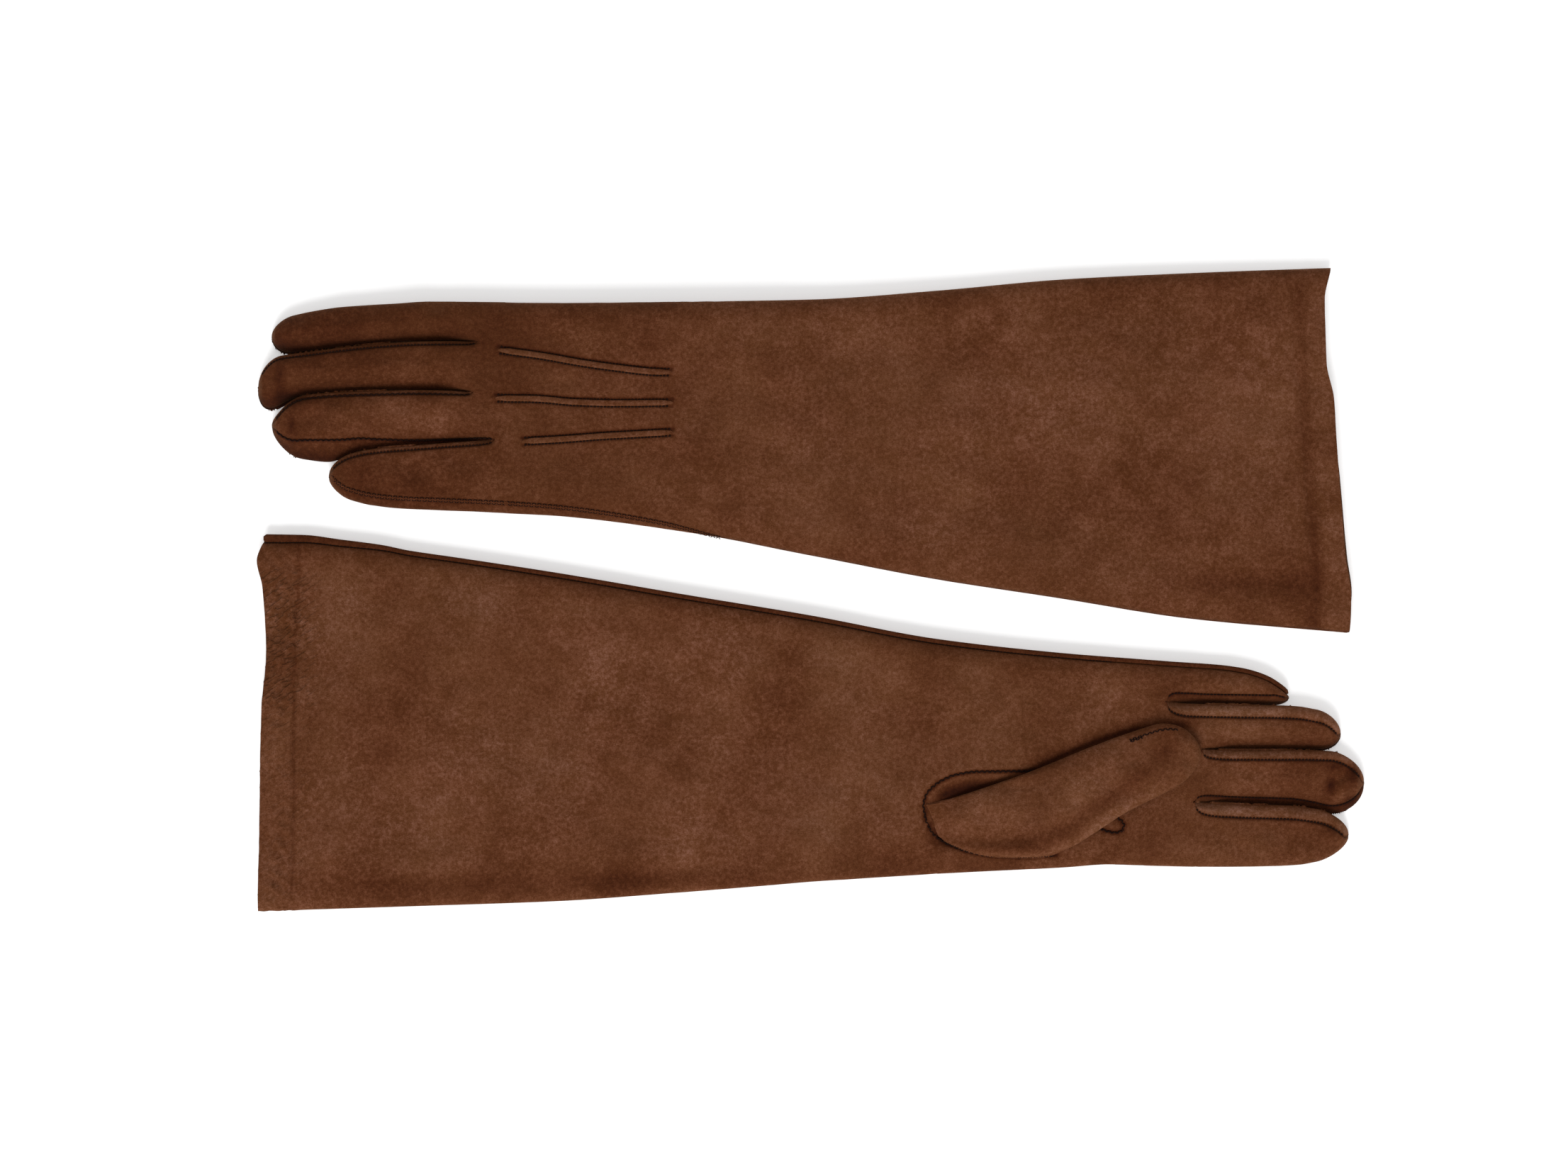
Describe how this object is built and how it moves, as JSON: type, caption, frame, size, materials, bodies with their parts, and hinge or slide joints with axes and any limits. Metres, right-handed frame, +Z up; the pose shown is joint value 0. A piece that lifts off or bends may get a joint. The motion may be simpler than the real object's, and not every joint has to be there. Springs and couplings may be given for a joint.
{
  "type": "pair of leather gloves",
  "caption": "Pair of elbow-length suede gloves lying flat head to tail, one palm up and one back up, with raised tucks on the backs, set-in thumbs and wide sleeves.",
  "frame": {"origin": "middle of the pair's footprint, on the surface that it lies on", "axes": "+X along the sleeves towards the right glove's fingers, +Y across the pair towards the left glove, +Z up from the surface"},
  "size_m": [0.4364, 0.254, 0.0173],
  "materials": {
    "suede": "napped brown suede, matt, mottled",
    "turned_hem": "flesh side of the turned-in hem, matt",
    "sewing_thread": "dark brown twisted sewing thread"
  },
  "bodies": {
    "left_arm": {"left_arm_back": "suede", "left_arm_palm": "suede", "left_arm_outseam": "suede", "left_hem_facing": "turned_hem", "left_arm_seam_thread": "sewing_thread"},
    "left_hand": {"left_hand_back": "suede", "left_hand_palm": "suede", "left_hand_outseam": "suede", "left_back_tucks": "suede", "left_tuck_thread": "sewing_thread", "left_thumb_hole_thread": "sewing_thread"},
    "left_thumb": {"left_thumb_top": "suede", "left_thumb_under": "suede", "left_thumb_side": "suede"},
    "left_index": {"left_index_back": "suede", "left_index_palm": "suede", "left_index_fourchette": "suede"},
    "left_middle": {"left_middle_back": "suede", "left_middle_palm": "suede", "left_middle_index_fourchette": "suede", "left_middle_ring_fourchette": "suede"},
    "left_ring": {"left_ring_back": "suede", "left_ring_palm": "suede", "left_ring_middle_fourchette": "suede", "left_ring_little_fourchette": "suede"},
    "left_little": {"left_little_back": "suede", "left_little_palm": "suede", "left_little_fourchette": "suede"},
    "right_arm": {"right_arm_back": "suede", "right_arm_palm": "suede", "right_arm_outseam": "suede", "right_hem_facing": "turned_hem", "right_arm_seam_thread": "sewing_thread"},
    "right_hand": {"right_hand_back": "suede", "right_hand_palm": "suede", "right_hand_outseam": "suede", "right_back_tucks": "suede", "right_tuck_thread": "sewing_thread", "right_thumb_hole_thread": "sewing_thread"},
    "right_thumb": {"right_thumb_top": "suede", "right_thumb_under": "suede", "right_thumb_side": "suede"},
    "right_index": {"right_index_back": "suede", "right_index_palm": "suede", "right_index_fourchette": "suede"},
    "right_middle": {"right_middle_back": "suede", "right_middle_palm": "suede", "right_middle_index_fourchette": "suede", "right_middle_ring_fourchette": "suede"},
    "right_ring": {"right_ring_back": "suede", "right_ring_palm": "suede", "right_ring_middle_fourchette": "suede", "right_ring_little_fourchette": "suede"},
    "right_little": {"right_little_back": "suede", "right_little_palm": "suede", "right_little_fourchette": "suede"}
  },
  "joints": [
    {"name": "right_glove_lift", "type": "slide", "parent": "left_arm", "child": "right_arm", "axis": [0, 0, 1], "range_m": [0, 0.1]},
    {"name": "left_wrist", "type": "hinge", "parent": "left_arm", "child": "left_hand", "pos_m": [-0.03, 0.065, 0.0125], "axis": [0, 1, 0], "range_deg": [0, 70]},
    {"name": "left_index_knuckle", "type": "hinge", "parent": "left_hand", "child": "left_index", "pos_m": [-0.1537, 0.1057, 0.0125], "axis": [0, 1, 0], "range_deg": [0, 75]},
    {"name": "left_middle_knuckle", "type": "hinge", "parent": "left_hand", "child": "left_middle", "pos_m": [-0.1547, 0.08775, 0.0125], "axis": [0, 1, 0], "range_deg": [0, 75]},
    {"name": "left_ring_knuckle", "type": "hinge", "parent": "left_hand", "child": "left_ring", "pos_m": [-0.1537, 0.06825, 0.0125], "axis": [0, 1, 0], "range_deg": [0, 75]},
    {"name": "left_little_knuckle", "type": "hinge", "parent": "left_hand", "child": "left_little", "pos_m": [-0.1427, 0.04465, 0.0125], "axis": [0, 1, 0], "range_deg": [0, 75]},
    {"name": "right_wrist", "type": "hinge", "parent": "right_arm", "child": "right_hand", "pos_m": [0.03, -0.065, 0.009], "axis": [0, -1, 0], "range_deg": [0, 70]},
    {"name": "right_index_knuckle", "type": "hinge", "parent": "right_hand", "child": "right_index", "pos_m": [0.1537, -0.0969, 0.009], "axis": [0, -1, 0], "range_deg": [0, 75]},
    {"name": "right_middle_knuckle", "type": "hinge", "parent": "right_hand", "child": "right_middle", "pos_m": [0.1547, -0.0735, 0.009], "axis": [0, -1, 0], "range_deg": [0, 75]},
    {"name": "right_ring_knuckle", "type": "hinge", "parent": "right_hand", "child": "right_ring", "pos_m": [0.1537, -0.0541, 0.009], "axis": [0, -1, 0], "range_deg": [0, 75]},
    {"name": "right_little_knuckle", "type": "hinge", "parent": "right_hand", "child": "right_little", "pos_m": [0.1427, -0.0361, 0.009], "axis": [0, -1, 0], "range_deg": [0, 75]},
    {"name": "right_thumb_swing", "type": "hinge", "parent": "right_hand", "child": "right_thumb", "pos_m": [0.09, -0.1047, 0.0093], "axis": [1, 0, 0], "range_deg": [0, 85]},
    {"name": "left_thumb_swing", "type": "hinge", "parent": "left_hand", "child": "left_thumb", "pos_m": [-0.07, 0.0915, 0.0014], "axis": [0, 0, -1], "range_deg": [0, 45]}
  ]
}
